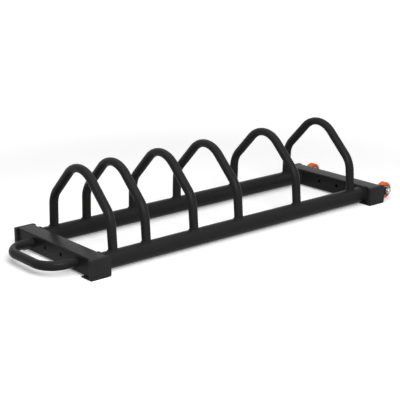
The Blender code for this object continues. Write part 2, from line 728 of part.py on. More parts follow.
def build():
    """Builds the whole rack."""
    clear_scene()
    for side in (FRONT, BACK):
        rail_object(side)
    beam_object("handle_beam", HANDLE_BEAM_X)
    beam_object("wheel_beam", WHEEL_BEAM_X)
    for side in (FRONT, BACK):
        cap_object(f"handle_cap_{SIDE_NAMES[side]}", HANDLE_BEAM_X, side)
        cap_object(f"wheel_cap_{SIDE_NAMES[side]}", WHEEL_BEAM_X, side)
    for number, station in enumerate(HOOP_STATIONS, start=1):
        hoop_object(number, station - MIDDLE_X)
    handle_object()
    for side in (FRONT, BACK):
        ear_object(side, side, "outer")
        ear_object(side, -side, "inner")
        wheel_objects(side)
        bearing_objects(side, side, "outboard")
        bearing_objects(side, -side, "inboard")
        axle_ring_objects(side)
        axle_bolt_object(side)
        axle_nut_object(side)


build()
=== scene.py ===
"""Looks of a wheeled bumper plate rack: welded black tube frame, moulded feet, orange wheels.

Every piece is modelled in metres in the rack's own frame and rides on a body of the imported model, and
each one but the weld beads takes the place of a plain solid. X runs from the carry handle to the
wheels, the front is -Y, and the floor is at z = 0.
"""

import logging
import math
from collections.abc import Callable, Sequence
from dataclasses import dataclass
from enum import Enum

import bmesh
import bpy
from mathutils import Matrix, Vector

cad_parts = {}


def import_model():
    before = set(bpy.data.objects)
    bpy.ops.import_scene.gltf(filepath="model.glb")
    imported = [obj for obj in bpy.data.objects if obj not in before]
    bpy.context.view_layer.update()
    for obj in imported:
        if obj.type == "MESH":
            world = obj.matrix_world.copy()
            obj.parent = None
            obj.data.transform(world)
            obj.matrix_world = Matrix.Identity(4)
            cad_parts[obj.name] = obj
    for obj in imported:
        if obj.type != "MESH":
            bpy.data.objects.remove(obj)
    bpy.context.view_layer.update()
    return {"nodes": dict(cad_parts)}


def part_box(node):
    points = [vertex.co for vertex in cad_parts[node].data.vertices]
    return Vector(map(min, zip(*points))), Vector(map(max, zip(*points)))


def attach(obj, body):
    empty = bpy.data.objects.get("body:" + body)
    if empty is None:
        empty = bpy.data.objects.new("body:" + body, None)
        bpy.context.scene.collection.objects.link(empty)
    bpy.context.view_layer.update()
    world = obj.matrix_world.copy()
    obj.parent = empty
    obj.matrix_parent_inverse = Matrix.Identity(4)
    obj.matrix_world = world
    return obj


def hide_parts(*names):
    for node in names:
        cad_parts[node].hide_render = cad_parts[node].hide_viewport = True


LOG = logging.getLogger("bumper_plate_rack")

FRAME_BODY = "frame"
SIDES = (("front", -1), ("back", 1))
HOOP_COUNT = 6
SMOOTH_ANGLE = math.radians(38)

# Distances in metres at which points count as one, and the sine below which edges count as parallel
MERGE_REACH = 1e-7
TINY = 1e-6
PARALLEL = 1e-3

# A point on the wheels' common axle, and the axes of the frame
AXLE_LINE = (0.6303, 0.0, 0.0320)
AXIS_X = Vector((1.0, 0.0, 0.0))
AXIS_Y = Vector((0.0, 1.0, 0.0))
AXIS_Z = Vector((0.0, 0.0, 1.0))

# Surface patterns, the same on every finish
DRIFT_DETAIL = 5.0
SMUDGE_SHARE = 0.4
SMUDGE_DETAIL = 6.0
SMUDGE_REACH = (0.3, 0.7)
PEEL_DETAIL = 2.0
RING_GROUP = 20.0
RING_WAVER = 0.6


def map_range(tree: bpy.types.NodeTree, value: bpy.types.NodeSocket, reach: tuple[float, float],
              result: tuple[float, float], smooth: bool = False) -> bpy.types.NodeSocket:
    """Adds a node that turns one range of a value into another.

    Args:
        tree: Node tree to add to.
        value: The value.
        reach: Its range.
        result: The range that it becomes.
        smooth: Whether the change eases in and out.

    Returns:
        The new value.
    """
    node = tree.nodes.new("ShaderNodeMapRange")
    if smooth:
        node.interpolation_type = "SMOOTHSTEP"
    node.inputs["From Min"].default_value, node.inputs["From Max"].default_value = reach
    node.inputs["To Min"].default_value, node.inputs["To Max"].default_value = result
    tree.links.new(value, node.inputs["Value"])
    return node.outputs["Result"]


def mix_colours(tree: bpy.types.NodeTree, low: Sequence[float], high: Sequence[float],
                share: bpy.types.NodeSocket) -> bpy.types.NodeSocket:
    """Adds a mix of two colours.

    Args:
        tree: Node tree to add to.
        low: Linear colour at a share of 0.
        high: Linear colour at a share of 1.
        share: The share.

    Returns:
        The mixed colour.
    """
    mix = tree.nodes.new("ShaderNodeMix")
    mix.data_type = "RGBA"
    mix.inputs["A"].default_value = (*low, 1.0)
    mix.inputs["B"].default_value = (*high, 1.0)
    tree.links.new(share, mix.inputs["Factor"])
    return mix.outputs["Result"]


class Grain(Enum):
    """Fine structure of a surface."""

    PEEL = "peel"
    MOULDED = "moulded"
    TURNED = "turned"


@dataclass(frozen=True)
class Finish:
    """One surface finish, with its grain and mottling at real size.

    Attributes:
        name: Material name.
        slot: The record's material slot; not used.
        colour: Linear base colour.
        roughness: Mean roughness.
        metallic: 0 for paint and plastic, 1 for bare metal.
        grain: Kind of fine structure.
        grain_size: Width of one grain in metres.
        grain_depth: Depth of the grain in metres.
        mottle: Share by which the colour drifts over the surface.
        mottle_size: Width of a drift patch in metres.
        spread: Change of roughness over the surface.
        centre: Point that turning rings run about.
        specular: Strength of the gloss at a steep view, 0.5 being that of plain paint.
    """

    name: str
    slot: str
    colour: tuple[float, float, float]
    roughness: float
    metallic: float
    grain: Grain
    grain_size: float
    grain_depth: float
    mottle: float = 0.12
    mottle_size: float = 0.03
    spread: float = 0.05
    centre: tuple[float, float, float] = (0.0, 0.0, 0.0)
    specular: float = 0.5

    def material(self) -> bpy.types.Material:
        """Returns the finish's material, made once.

        Returns:
            The material.
        """
        found = bpy.data.materials.get(self.name)
        if found:
            return found
        material = bpy.data.materials.new(self.name)
        material.use_nodes = True
        tree = material.node_tree
        shader = tree.nodes["Principled BSDF"]
        shader.inputs["Metallic"].default_value = self.metallic
        shader.inputs["Specular IOR Level"].default_value = self.specular
        place = tree.nodes.new("ShaderNodeTexCoord").outputs["Object"]
        tree.links.new(self._colour(tree, place), shader.inputs["Base Color"])
        tree.links.new(self._roughness(tree, place), shader.inputs["Roughness"])
        tree.links.new(self._bump(tree, place), shader.inputs["Normal"])
        material.diffuse_color = (*self.colour, 1.0)
        return material

    @staticmethod
    def _noise(tree: bpy.types.NodeTree, place: bpy.types.NodeSocket, size: float,
               detail: float) -> bpy.types.NodeSocket:
        """Adds a noise.

        Args:
            tree: Node tree to add to.
            place: Coordinates in metres.
            size: Width of its features in metres.
            detail: Number of finer layers.

        Returns:
            The noise's value.
        """
        noise = tree.nodes.new("ShaderNodeTexNoise")
        noise.inputs["Scale"].default_value = 1.0 / size
        noise.inputs["Detail"].default_value = detail
        tree.links.new(place, noise.inputs["Vector"])
        return noise.outputs["Fac"]

    def _colour(self, tree: bpy.types.NodeTree, place: bpy.types.NodeSocket) -> bpy.types.NodeSocket:
        """Adds the slow drift of the base colour.

        Args:
            tree: Node tree to add to.
            place: Coordinates in metres.

        Returns:
            The colour.
        """
        low = [channel * (1.0 - self.mottle) for channel in self.colour]
        high = [min(1.0, channel * (1.0 + self.mottle)) for channel in self.colour]
        return mix_colours(tree, low, high, self._noise(tree, place, self.mottle_size, DRIFT_DETAIL))

    def _roughness(self, tree: bpy.types.NodeTree, place: bpy.types.NodeSocket) -> bpy.types.NodeSocket:
        """Adds the change of roughness, as small patches with a finer break-up.

        Args:
            tree: Node tree to add to.
            place: Coordinates in metres.

        Returns:
            The roughness.
        """
        smudges = self._noise(tree, place, self.mottle_size * SMUDGE_SHARE, SMUDGE_DETAIL)
        span = (self.roughness - self.spread, self.roughness + self.spread)
        return map_range(tree, smudges, SMUDGE_REACH, span)

    def _bump(self, tree: bpy.types.NodeTree, place: bpy.types.NodeSocket) -> bpy.types.NodeSocket:
        """Adds the relief of the grain.

        Args:
            tree: Node tree to add to.
            place: Coordinates in metres.

        Returns:
            The surface direction.
        """
        bump = tree.nodes.new("ShaderNodeBump")
        bump.inputs["Distance"].default_value = self.grain_depth
        bump.inputs["Strength"].default_value = 1.0
        if self.grain is Grain.TURNED:
            tree.links.new(self._rings(tree, place), bump.inputs["Height"])
        elif self.grain is Grain.MOULDED:
            cells = tree.nodes.new("ShaderNodeTexVoronoi")
            cells.inputs["Scale"].default_value = 1.0 / self.grain_size
            tree.links.new(place, cells.inputs["Vector"])
            tree.links.new(cells.outputs["Distance"], bump.inputs["Height"])
        else:
            tree.links.new(self._noise(tree, place, self.grain_size, PEEL_DETAIL), bump.inputs["Height"])
        return bump.outputs["Normal"]

    def _rings(self, tree: bpy.types.NodeTree, place: bpy.types.NodeSocket) -> bpy.types.NodeSocket:
        """Adds fine turning rings about the wheels' axle.

        Args:
            tree: Node tree to add to.
            place: Coordinates in metres.

        Returns:
            The height of the rings.
        """
        moved = tree.nodes.new("ShaderNodeMapping")
        moved.inputs["Location"].default_value = [-value for value in self.centre]
        tree.links.new(place, moved.inputs["Vector"])
        wave = tree.nodes.new("ShaderNodeTexWave")
        wave.wave_type = "RINGS"
        wave.rings_direction = "Y"
        wave.inputs["Scale"].default_value = 1.0 / (self.grain_size * RING_GROUP)
        wave.inputs["Distortion"].default_value = RING_WAVER
        tree.links.new(moved.outputs["Vector"], wave.inputs["Vector"])
        return wave.outputs["Fac"]


POWDER_COAT = Finish("satin_black_powder_coat", "powder_coat", colour=(0.0172, 0.0172, 0.0172),
                     roughness=0.34, metallic=0.0, grain=Grain.PEEL, grain_size=0.0009,
                     grain_depth=0.00002, mottle=0.08, spread=0.03, specular=0.06)
MOULDED_BLACK = Finish("moulded_black_plastic", "moulded_plastic", colour=(0.0165, 0.0165, 0.017),
                       roughness=0.55, metallic=0.0, grain=Grain.MOULDED, grain_size=0.0007,
                       grain_depth=0.00005, specular=0.12)
ORANGE_URETHANE = Finish("orange_urethane", "orange_urethane", colour=(0.74, 0.13, 0.035),
                         roughness=0.36, metallic=0.0, grain=Grain.PEEL, grain_size=0.0006,
                         grain_depth=0.00002, mottle=0.06)
CORE_BLACK = Finish("black_nylon_core", "core_nylon", colour=(0.02, 0.02, 0.022), roughness=0.5,
                    metallic=0.0, grain=Grain.MOULDED, grain_size=0.0005, grain_depth=0.00003)
SEAL_NAVY = Finish("navy_seal_rubber", "seal_rubber", colour=(0.012, 0.014, 0.05), roughness=0.5,
                   metallic=0.0, grain=Grain.PEEL, grain_size=0.0004, grain_depth=0.00002)
BEARING_STEEL = Finish("ground_bearing_steel", "bearing_steel", colour=(0.62, 0.62, 0.64),
                       roughness=0.22, metallic=1.0, grain=Grain.TURNED, grain_size=0.0003,
                       grain_depth=0.000006, mottle=0.05, spread=0.06, centre=AXLE_LINE)
ZINC_PLATE = Finish("zinc_plated_steel", "zinc_plate", colour=(0.48, 0.48, 0.47), roughness=0.3,
                    metallic=1.0, grain=Grain.TURNED, grain_size=0.0004, grain_depth=0.00001,
                    mottle=0.08, mottle_size=0.008, spread=0.08, centre=AXLE_LINE)


def mesh_of(name: str, bm: bmesh.types.BMesh) -> bpy.types.Mesh:
    """Turns a shape into a mesh.

    Args:
        name: Mesh name.
        bm: The shape; it is freed.

    Returns:
        The mesh.
    """
    mesh = bpy.data.meshes.new(name)
    bm.to_mesh(mesh)
    bm.free()
    return mesh


def linked(name: str, data: bpy.types.ID) -> bpy.types.Object:
    """Makes an object and links it to the scene.

    Args:
        name: Object name.
        data: Its mesh, camera or light.

    Returns:
        The object.
    """
    item = bpy.data.objects.new(name, data)
    bpy.context.scene.collection.objects.link(item)
    return item


def add_piece(name: str, bm: bmesh.types.BMesh, finish: Finish, body: str = FRAME_BODY,
              nodes: tuple[str, ...] = ()) -> bpy.types.Object:
    """Turns a shape into a dressed piece that rides on a body.

    Args:
        name: Piece name.
        bm: The shape, in the rack's frame; it is freed.
        finish: Surface finish.
        body: Body that the piece rides on.
        nodes: Plain solids that the piece stands for.

    Returns:
        The new object.
    """
    bmesh.ops.remove_doubles(bm, verts=bm.verts, dist=MERGE_REACH)
    bmesh.ops.recalc_face_normals(bm, faces=bm.faces)
    mesh = mesh_of(name, bm)
    mesh.shade_smooth()
    mesh.set_sharp_from_angle(angle=SMOOTH_ANGLE)
    mesh.materials.append(finish.material())
    piece = linked(name, mesh)
    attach(piece, body)
    if nodes:
        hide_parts(*nodes)
    LOG.info("%s: %d faces, %s, on %s", name, len(mesh.polygons), finish.name, body)
    return piece


def carve(bm: bmesh.types.BMesh, tool: bmesh.types.BMesh, operation: str = "DIFFERENCE") -> bmesh.types.BMesh:
    """Combines two closed shapes with an exact Boolean.

    Args:
        bm: The shape to change; it is freed.
        tool: The shape that cuts or joins it; it is freed.
        operation: DIFFERENCE, UNION or INTERSECT.

    Returns:
        The combined shape.
    """
    objects = []
    for shape in (bm, tool):
        bmesh.ops.recalc_face_normals(shape, faces=shape.faces)
        objects.append(linked("carving", mesh_of("carving", shape)))
    modifier = objects[0].modifiers.new("carve", "BOOLEAN")
    modifier.operation = operation
    modifier.object = objects[1]
    modifier.solver = "EXACT"
    evaluated = objects[0].evaluated_get(bpy.context.evaluated_depsgraph_get())
    result = bmesh.new()
    result.from_mesh(evaluated.to_mesh())
    evaluated.to_mesh_clear()
    for item in objects:
        mesh = item.data
        bpy.data.objects.remove(item)
        bpy.data.meshes.remove(mesh)
    return result


def round_edges(bm: bmesh.types.BMesh, edges: list[bmesh.types.BMEdge], radius: float,
                segments: int = 8) -> None:
    """Rounds some edges of a shape.

    Args:
        bm: The shape.
        edges: Edges to round.
        radius: Radius of the rounding.
        segments: Number of faces across it.
    """
    bmesh.ops.bevel(bm, geom=edges, offset=radius, offset_type="OFFSET", segments=segments, profile=0.5,
                    affect="EDGES", material=-1)


def edges_along_y(bm: bmesh.types.BMesh) -> list[bmesh.types.BMEdge]:
    """Returns the edges of a box that run along Y."""
    return [e for e in bm.edges
            if (e.verts[0].co - e.verts[1].co).normalized().cross(AXIS_Y).length < PARALLEL]


def rounded_box(low: Vector, high: Vector, corner: float = 0.0) -> bmesh.types.BMesh:
    """A box whose four edges along Y are rounded.

    Args:
        low: Lowest corner.
        high: Highest corner.
        corner: Radius of those edges, or 0 to leave them sharp.

    Returns:
        The closed shape.
    """
    bm = bmesh.new()
    bmesh.ops.create_cube(bm, size=1.0)
    bmesh.ops.scale(bm, vec=high - low, verts=bm.verts)
    bmesh.ops.translate(bm, vec=(high + low) / 2, verts=bm.verts)
    if corner > 0:
        round_edges(bm, edges_along_y(bm), corner)
    return bm


def spin_about_y(bm: bmesh.types.BMesh, geom: list[bmesh.types.BMVert | bmesh.types.BMEdge],
                 steps: int) -> None:
    """Spins an outline a full turn about the Y axis.

    Args:
        bm: The shape.
        geom: Points and edges of the outline.
        steps: Number of faces around.
    """
    bmesh.ops.spin(bm, geom=geom, cent=(0.0, 0.0, 0.0), axis=AXIS_Y, angle=math.tau, steps=steps,
                   use_merge=True)


def spun(profile: list[tuple[float, float]], centre: Vector, steps: int,
         rounds: dict[int, float] | None = None, segments: int = 6) -> bmesh.types.BMesh:
    """Turns a closed profile about an axis parallel to Y.

    Args:
        profile: Corner points (radius, distance along Y from the centre).
        centre: Point on the axis that the profile is measured from.
        steps: Number of faces around.
        rounds: Rounding radius of each named corner of the profile.
        segments: Number of faces across a rounding.

    Returns:
        The closed shape.
    """
    bm = bmesh.new()
    verts = [bm.verts.new((radius, along, 0.0)) for radius, along in profile]
    bm.faces.new(verts)
    for index, radius in (rounds or {}).items():
        bmesh.ops.bevel(bm, geom=[verts[index]], offset=radius, offset_type="OFFSET", segments=segments,
                        profile=0.5, affect="VERTICES", material=-1)
    face = bm.faces[:]
    outline = bm.verts[:] + bm.edges[:]
    bmesh.ops.delete(bm, geom=face, context="FACES_ONLY")
    spin_about_y(bm, outline, steps)
    bmesh.ops.translate(bm, vec=centre, verts=bm.verts)
    return bm


def spun_line(line: list[tuple[float, float]], centre: Vector, steps: int) -> bmesh.types.BMesh:
    """Turns a line that starts and ends on an axis parallel to Y about that axis.

    Args:
        line: Points (radius, distance along Y from the centre).
        centre: Point on the axis that the line is measured from.
        steps: Number of faces around.

    Returns:
        The closed shape.
    """
    bm = bmesh.new()
    verts = [bm.verts.new((radius, along, 0.0)) for radius, along in line]
    edges = [bm.edges.new(pair) for pair in zip(verts, verts[1:])]
    spin_about_y(bm, verts + edges, steps)
    bmesh.ops.remove_doubles(bm, verts=bm.verts, dist=TINY)
    bmesh.ops.translate(bm, vec=centre, verts=bm.verts)
    return bm


def extrude_ring(bm: bmesh.types.BMesh, ring: list[bmesh.types.BMEdge],
                 run: Vector) -> list[bmesh.types.BMEdge]:
    """Extrudes an open ring along a straight run.

    Args:
        bm: The shape.
        ring: Edges of the ring.
        run: Way that the ring goes.

    Returns:
        The edges of the new ring.
    """
    made = bmesh.ops.extrude_edge_only(bm, edges=ring)["geom"]
    verts = [item for item in made if isinstance(item, bmesh.types.BMVert)]
    bmesh.ops.translate(bm, vec=run, verts=verts)
    return [e for e in made if isinstance(e, bmesh.types.BMEdge) and all(v in verts for v in e.verts)]


def close_ends(bm: bmesh.types.BMesh) -> None:
    """Closes the open rings of a shape."""
    bmesh.ops.holes_fill(bm, edges=[e for e in bm.edges if e.is_boundary])


class TubeSweep:
    """Grows a round tube from one ring by extruding its straight runs and spinning its bends.

    A bent tube is a little flatter, and a little wider, in the middle of each bend.

    Attributes:
        flattening: Share by which it is flatter there.
        widening: Share by which it is wider there.
    """

    flattening: float = 0.1
    widening: float = 0.04

    def __init__(self, start: Vector, direction: Vector, radius: float, sides: int = 40) -> None:
        """Starts the tube.

        Args:
            start: First point of the centreline.
            direction: Direction in which the tube leaves it.
            radius: Outer radius.
            sides: Number of faces around.
        """
        self.bm = bmesh.new()
        self.head = start.copy()
        made = bmesh.ops.create_circle(self.bm, cap_ends=False, segments=sides, radius=radius)
        turn = AXIS_Z.rotation_difference(direction).to_matrix().to_4x4()
        bmesh.ops.transform(self.bm, matrix=Matrix.Translation(start) @ turn, verts=made["verts"])
        self.ring = list(self.bm.edges)

    def straight_to(self, point: Vector) -> None:
        """Extrudes the open ring to a point on the centreline.

        Args:
            point: The point.
        """
        self.ring = extrude_ring(self.bm, self.ring, point - self.head)
        self.head = point.copy()

    def bend(self, centre: Vector, axis: Vector, angle: float, steps: int) -> None:
        """Spins the open ring about a bend's centre.

        Args:
            centre: Centre of the bend.
            axis: Axis of the bend.
            angle: Angle that the bend turns through.
            steps: Number of faces along it.
        """
        earlier = set(self.bm.verts)
        verts = list({v for e in self.ring for v in e.verts})
        made = bmesh.ops.spin(self.bm, geom=verts + self.ring, cent=centre, axis=axis, angle=angle,
                              steps=steps, use_merge=False)["geom_last"]
        self.ring = [e for e in made if isinstance(e, bmesh.types.BMEdge)]
        reach = self.head - centre
        for vert in self.bm.verts:
            if vert in earlier:
                continue
            place = vert.co - centre
            across = axis * place.dot(axis)
            radial = place - across
            line = radial.normalized() * reach.length
            swing = math.sin(math.pi * min(1.0, reach.angle(radial) / angle))
            vert.co = (centre + line + across * (1.0 + self.widening * swing)
                       + (radial - line) * (1.0 - self.flattening * swing))
        self.head = centre + Matrix.Rotation(angle, 3, axis) @ reach

    def follow(self, corners: list[Vector], radii: list[float], steps: list[int]) -> None:
        """Runs the tube through corner points, with an arc at each inner one.

        Args:
            corners: All corner points, the start first.
            radii: Bend radius at each inner corner.
            steps: Number of faces along each bend.
        """
        for i, radius in enumerate(radii, start=1):
            arriving = (corners[i] - corners[i - 1]).normalized()
            leaving = (corners[i + 1] - corners[i]).normalized()
            turn = arriving.angle(leaving)
            self.straight_to(corners[i] - arriving * radius * math.tan(turn / 2))
            axis = arriving.cross(leaving).normalized()
            self.bend(self.head + axis.cross(arriving) * radius, axis, turn, steps[i - 1])
        self.straight_to(corners[-1])

    def close(self) -> bmesh.types.BMesh:
        """Closes both ends and returns the shape."""
        close_ends(self.bm)
        return self.bm


@dataclass(frozen=True)
class WeldBead:
    """A rippled fillet weld around a tube or along a straight joint.

    Attributes:
        leg: Reach of the bead on each of the joined surfaces.
        pitch: Distance between ripples.
        depth: Share by which a ripple swells the bead.
        body: Radius of the bead's section, as a share of its leg.
        stand_off: Distance of the section's middle from both surfaces, as a share of its leg.
        lean: How far a ripple bows along the bead from root to edge, in radians.
        section_sides: Number of faces around the section.
        ripple_steps: Number of faces along one ripple.
        least_steps: Least number of faces along a bead around a tube.
        seam_slack: Angle past a bead's end from which a point counts as lying at its start.
        round_start: Share of the section at the two ends of a bead around part of a tube.
        round_rise: How fast the section grows from there, for the whole bead as 1.
        straight_start: Share of the section at the two ends of a straight bead.
    """

    leg: float = 0.0035
    pitch: float = 0.0024
    depth: float = 0.1
    body: float = 0.66
    stand_off: float = 0.22
    lean: float = 1.6
    section_sides: int = 12
    ripple_steps: int = 4
    least_steps: int = 24
    seam_slack: float = 0.2
    round_start: float = 0.35
    round_rise: float = 9.0
    straight_start: float = 0.4

    def _section(self, bm: bmesh.types.BMesh, middle: Vector, side: Vector,
                 rise: Vector) -> list[bmesh.types.BMVert]:
        """Adds the bead's round section.

        Args:
            bm: The shape.
            middle: Middle of the section.
            side: Direction away from one surface.
            rise: Direction away from the other.

        Returns:
            The section's points.
        """
        made = bmesh.ops.create_circle(bm, cap_ends=False, segments=self.section_sides,
                                       radius=self.leg * self.body)
        turn = Matrix((side, rise, side.cross(rise))).transposed().to_4x4()
        bmesh.ops.transform(bm, matrix=Matrix.Translation(middle) @ turn, verts=made["verts"])
        return made["verts"]

    def around(self, name: str, centre: Vector, axis: Vector, radius: float, zero: Vector,
               start: float = 0.0, sweep: float = math.tau,
               seat: Callable[[Vector], float] | None = None) -> None:
        """Makes a bead around a tube where it stands on a surface.

        Args:
            name: Piece name.
            centre: Point where the tube's axis meets the surface.
            axis: Direction of the tube away from the surface.
            radius: Tube radius.
            zero: Direction across the axis from which angles are measured.
            start: First angle of the bead.
            sweep: Angle that it covers.
            seat: Height of the surface above the centre at a place across the axis.
        """
        bm = bmesh.new()
        whole = sweep >= math.tau - TINY
        side = Matrix.Rotation(start, 3, axis) @ zero
        off_surface = self.leg * self.stand_off
        verts = self._section(bm, centre + side * (radius + off_surface) + axis * off_surface, side, axis)
        count = max(self.least_steps, int(radius * sweep / self.pitch) * self.ripple_steps)
        edges = list(bm.edges)
        bmesh.ops.spin(bm, geom=verts + edges, cent=centre, axis=axis, angle=sweep, steps=count,
                       use_merge=whole)
        cross = axis.cross(zero)
        ripples = max(1, round(radius * sweep / self.pitch))
        for vert in bm.verts:
            place = vert.co - centre
            angle = (math.atan2(place.dot(cross), place.dot(zero)) - start) % math.tau
            if not whole and angle > sweep + self.seam_slack:
                angle = 0.0
            out = Matrix.Rotation(start + angle, 3, axis) @ zero
            core = centre + out * (radius + off_surface) + axis * off_surface
            off = vert.co - core
            bow = self.lean * off.dot(out) / self.leg
            swell = 1.0 + self.depth * math.cos(ripples * math.tau * angle / sweep + bow)
            if not whole:
                to_end = min(angle, max(0.0, sweep - angle))
                swell *= min(1.0, self.round_start + self.round_rise * to_end / sweep)
            vert.co = core + off * swell
            if seat:
                vert.co += axis * seat(vert.co - centre)
        if not whole:
            close_ends(bm)
        add_piece(name, bm, POWDER_COAT)

    def along(self, name: str, start: Vector, end: Vector, side: Vector, rise: Vector) -> None:
        """Makes a straight bead in the corner between two surfaces.

        Args:
            name: Piece name.
            start: First point of the corner line.
            end: Last point of the corner line.
            side: Direction away from the second surface.
            rise: Direction away from the first surface.
        """
        bm = bmesh.new()
        run = end - start
        middle = start + (side + rise) * self.leg * self.stand_off
        self._section(bm, middle, side, rise)
        count = int(run.length / self.pitch) * self.ripple_steps
        ring = list(bm.edges)
        for _ in range(count):
            ring = extrude_ring(bm, ring, run / count)
        forward = run.normalized()
        for vert in bm.verts:
            distance = (vert.co - start).dot(forward)
            core = middle + forward * distance
            off = vert.co - core
            bow = self.lean * off.dot(side) / self.leg
            swell = 1.0 + self.depth * math.cos(math.tau * distance / self.pitch + bow)
            swell *= min(1.0, self.straight_start + min(distance, run.length - distance) / self.leg)
            vert.co = core + off * swell
        close_ends(bm)
        add_piece(name, bm, POWDER_COAT)


@dataclass
class Rails:
    """The two long round rails and the welds at their ends.

    Attributes:
        radius: Outer radius.
        height: Height of the axis.
        spacing: Distance between the two axes.
        sides: Number of faces around.
        gap: Clearance between a rail's end and the beam.
        bead: Weld at each end.
        bead_start: Angle below level where that weld starts, as the underside is left bare.
    """

    radius: float = 0.0254
    height: float = 0.0298
    spacing: float = 0.3048
    sides: int = 72
    gap: float = 0.0001
    bead: WeldBead = WeldBead(leg=0.0052)
    bead_start: float = math.radians(-38)

    def build(self) -> None:
        """Makes both rails and their four end welds."""
        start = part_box("handle_beam")[1].x
        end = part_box("wheel_beam")[0].x
        covered = math.pi - 2 * self.bead_start
        for word, side in SIDES:
            y = side * self.spacing / 2
            ends = [Vector((start + self.gap, y, self.height)), Vector((end - self.gap, y, self.height))]
            sweep = TubeSweep(ends[0], AXIS_X, self.radius, self.sides)
            sweep.straight_to(ends[1])
            add_piece(f"{word}_rail_tube", sweep.close(), POWDER_COAT, nodes=(f"{word}_rail",))
            for label, point, axis in (("handle", ends[0], AXIS_X), ("wheel", ends[1], -AXIS_X)):
                zero = AXIS_Y if axis.x > 0 else -AXIS_Y
                self.bead.around(f"{word}_rail_{label}_weld", point, axis, self.radius, zero,
                                 self.bead_start, covered)


@dataclass
class Hoop:
    """One bent-tube hoop that keeps the plates upright, welded on both rails.

    Attributes:
        number: Place in the row, from the handle end.
        rails: The rails that it stands on.
        radius: Outer radius of the tube.
        knee_spacing: Distance between the corner points of the two knees.
        knee_height: Height of those points.
        knee_radius: Bend radius of a knee.
        knee_steps: Number of faces along a knee.
        apex_height: Height of the corner point of the peak.
        apex_radius: Bend radius of the peak.
        apex_steps: Number of faces along the peak.
        sink: How far a leg's end lies inside the rail's surface.
        bead: Weld under each leg.
    """

    number: int
    rails: Rails
    radius: float = 0.0135
    knee_spacing: float = 0.292
    knee_height: float = 0.148
    knee_radius: float = 0.072
    knee_steps: int = 14
    apex_height: float = 0.291
    apex_radius: float = 0.084
    apex_steps: int = 26
    sink: float = 0.002
    bead: WeldBead = WeldBead(leg=0.0032)

    def corners(self, x: float) -> list[Vector]:
        """Finds the corner points of the centreline, from rail axis to rail axis.

        Args:
            x: Place of the hoop along the rack.

        Returns:
            The five points, front to back.
        """
        knee = self.knee_spacing / 2
        rail = self.rails.spacing / 2
        return [Vector((x, -rail, self.rails.height)), Vector((x, -knee, self.knee_height)),
                Vector((x, 0.0, self.apex_height)), Vector((x, knee, self.knee_height)),
                Vector((x, rail, self.rails.height))]

    def build(self) -> None:
        """Makes the tube and the weld under each leg."""
        low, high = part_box(f"hoop_{self.number}")
        corners = self.corners((low.x + high.x) / 2)
        buried = self.rails.radius - self.sink
        rising = (corners[1] - corners[0]).normalized()
        sweep = TubeSweep(corners[0] + rising * buried, rising, self.radius)
        foot = corners[-1] + (corners[-2] - corners[-1]).normalized() * buried
        sweep.follow([sweep.head, *corners[1:-1], foot],
                     [self.knee_radius, self.apex_radius, self.knee_radius],
                     [self.knee_steps, self.apex_steps, self.knee_steps])
        add_piece(f"hoop_{self.number}_tube", sweep.close(), POWDER_COAT, nodes=(f"hoop_{self.number}",))
        for word, root, knee in (("front", corners[0], corners[1]), ("back", corners[-1], corners[-2])):
            axis = (knee - root).normalized()
            level = axis.cross(AXIS_X).normalized()
            rail_radius = self.rails.radius

            def seat(offset: Vector, level: Vector = level) -> float:
                """Returns the drop of the rail's round surface beside the leg's middle plane."""
                return math.sqrt(max(0.0, rail_radius ** 2 - offset.dot(level) ** 2)) - rail_radius

            self.bead.around(f"hoop_{self.number}_{word}_weld", root + axis * rail_radius, axis,
                             self.radius, AXIS_X, seat=seat)


@dataclass
class CarryHandle:
    """The U-shaped carry handle on the outer face of the handle beam.

    Attributes:
        radius: Outer radius of the tube.
        spacing: Distance between the axes of its two legs.
        reach: Distance of the bar's axis from the beam.
        bend: Bend radius at each corner.
        bend_steps: Number of faces along a bend.
        bead: Weld at each leg.
    """

    radius: float = 0.0135
    spacing: float = 0.227
    reach: float = 0.0895
    bend: float = 0.063
    bend_steps: int = 20
    bead: WeldBead = WeldBead(leg=0.003)

    def build(self) -> None:
        """Makes the bent tube and the weld at each leg."""
        low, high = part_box("handle_beam")
        face = low.x
        middle = (low.z + high.z) / 2
        half = self.spacing / 2
        corners = [Vector((face, -half, middle)), Vector((face - self.reach, -half, middle)),
                   Vector((face - self.reach, half, middle)), Vector((face, half, middle))]
        sweep = TubeSweep(corners[0], -AXIS_X, self.radius)
        sweep.follow(corners, [self.bend, self.bend], [self.bend_steps, self.bend_steps])
        add_piece("carry_handle_tube", sweep.close(), POWDER_COAT, nodes=("carry_handle",))
        for word, root in (("front", corners[0]), ("back", corners[-1])):
            self.bead.around(f"carry_handle_{word}_weld", root, -AXIS_X, self.radius, AXIS_Y)


